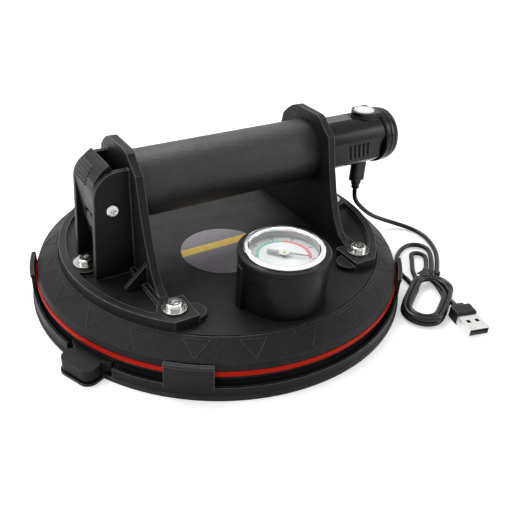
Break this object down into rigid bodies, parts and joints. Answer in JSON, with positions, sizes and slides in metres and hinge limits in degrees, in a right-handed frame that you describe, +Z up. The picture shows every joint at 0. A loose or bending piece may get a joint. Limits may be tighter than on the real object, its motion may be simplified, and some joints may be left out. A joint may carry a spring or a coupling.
{
  "type": "vacuum suction lifter",
  "caption": "Round vacuum pad lifter with a tube grip between two brackets, release lever, gauge, battery pump module and a charging cord.",
  "frame": {"origin": "centre of the disc on the surface the covered pad rests on", "axes": "+Z up, +X along the grip towards the battery module, -Y the gauge side"},
  "size_m": [0.2557, 0.2303, 0.0952],
  "materials": {
    "cover_plastic": "moulded, fine matt grain",
    "pad_rubber": "smooth moulded rubber",
    "ring_red": "satin coloured ring",
    "steel_plate": "zinc plated sheet",
    "bright_steel": "bright plated",
    "disc_plastic": "moulded, fine matt grain",
    "bracket_plastic": "glass filled nylon, light grain",
    "grip_skin": "fine textured tube",
    "core_plastic": "plain moulded",
    "pump_metal": "machined",
    "cell_wrap": "shrink wrap",
    "lever_plastic": "moulded, fine matt grain",
    "brass": "turned",
    "module_plastic": "satin moulded",
    "button_plastic": "light satin",
    "label_film": "printed film, bare",
    "board_green": "solder mask",
    "cup_plastic": "satin moulded",
    "clear_glass": "clear",
    "dial_white": "printed dial",
    "needle_paint": "painted",
    "sticker_film": "printed film, bare",
    "cord_skin": "soft PVC",
    "plug_plastic": "moulded PVC",
    "tongue_white": "moulded"
  },
  "bodies": {
    "lifter": {"suction_pad": "pad_rubber", "seal_ring": "ring_red", "backing_plate": "steel_plate", "clamp_plate": "steel_plate", "clamp_screws": "bright_steel", "inlet_filter": "core_plastic", "body_disc": "disc_plastic", "round_sticker": "sticker_film", "bracket_left": "bracket_plastic", "bracket_right": "bracket_plastic", "bracket_bolts": "bright_steel", "grip_tube": "grip_skin", "grip_core": "core_plastic", "vacuum_pump": "pump_metal", "pump_motor": "steel_plate", "battery_cell": "cell_wrap", "valve_body": "brass", "module_housing": "module_plastic", "module_cap": "module_plastic", "rating_plate": "label_film", "control_board": "board_green", "port_socket": "bright_steel", "port_flap": "pad_rubber", "gauge_cup": "cup_plastic", "gauge_case": "steel_plate", "gauge_bezel": "bright_steel", "gauge_glass": "clear_glass", "gauge_dial": "dial_white", "gauge_movement": "brass", "plug_c_grip": "plug_plastic", "plug_c_shell": "bright_steel", "cord_lead": "cord_skin", "cord_hank": "cord_skin", "cord_loop_small": "cord_skin", "cord_loop_back": "cord_skin", "cord_tail": "cord_skin", "cord_tie": "plug_plastic", "plug_a_grip": "plug_plastic", "plug_a_shell": "bright_steel", "plug_a_tongue": "tongue_white"},
    "cover": {"pad_cover": "cover_plastic"},
    "lever": {"release_lever": "lever_plastic", "lever_screws": "bright_steel"},
    "stem": {"valve_stem": "bright_steel"},
    "button": {"power_button": "button_plastic"},
    "needle": {"gauge_needle": "needle_paint"}
  },
  "joints": [
    {"name": "cover_off", "type": "slide", "parent": "lifter", "child": "cover", "axis": [0, 0, -1], "range_m": [0, 0.03]},
    {"name": "lever_pivot", "type": "hinge", "parent": "lifter", "child": "lever", "pos_m": [-0.0689, 0, 0.067], "axis": [0, 1, 0], "range_deg": [0, 8], "stiffness_Nm_per_rad": 0.5},
    {"name": "valve_slide", "type": "slide", "parent": "lifter", "child": "stem", "axis": [-1, 0, 0], "range_m": [0, 0.0014]},
    {"name": "button_press", "type": "slide", "parent": "lifter", "child": "button", "axis": [0, 0, -1], "range_m": [0, 0.001], "stiffness_N_per_m": 400},
    {"name": "needle_turn", "type": "hinge", "parent": "lifter", "child": "needle", "pos_m": [0, -0.065, 0.0503], "axis": [0, 0, 1], "range_deg": [0, 200]}
  ],
  "couplings": [
    {"joint": "valve_slide", "follows": "lever_pivot", "m_per_rad": 0.01}
  ]
}
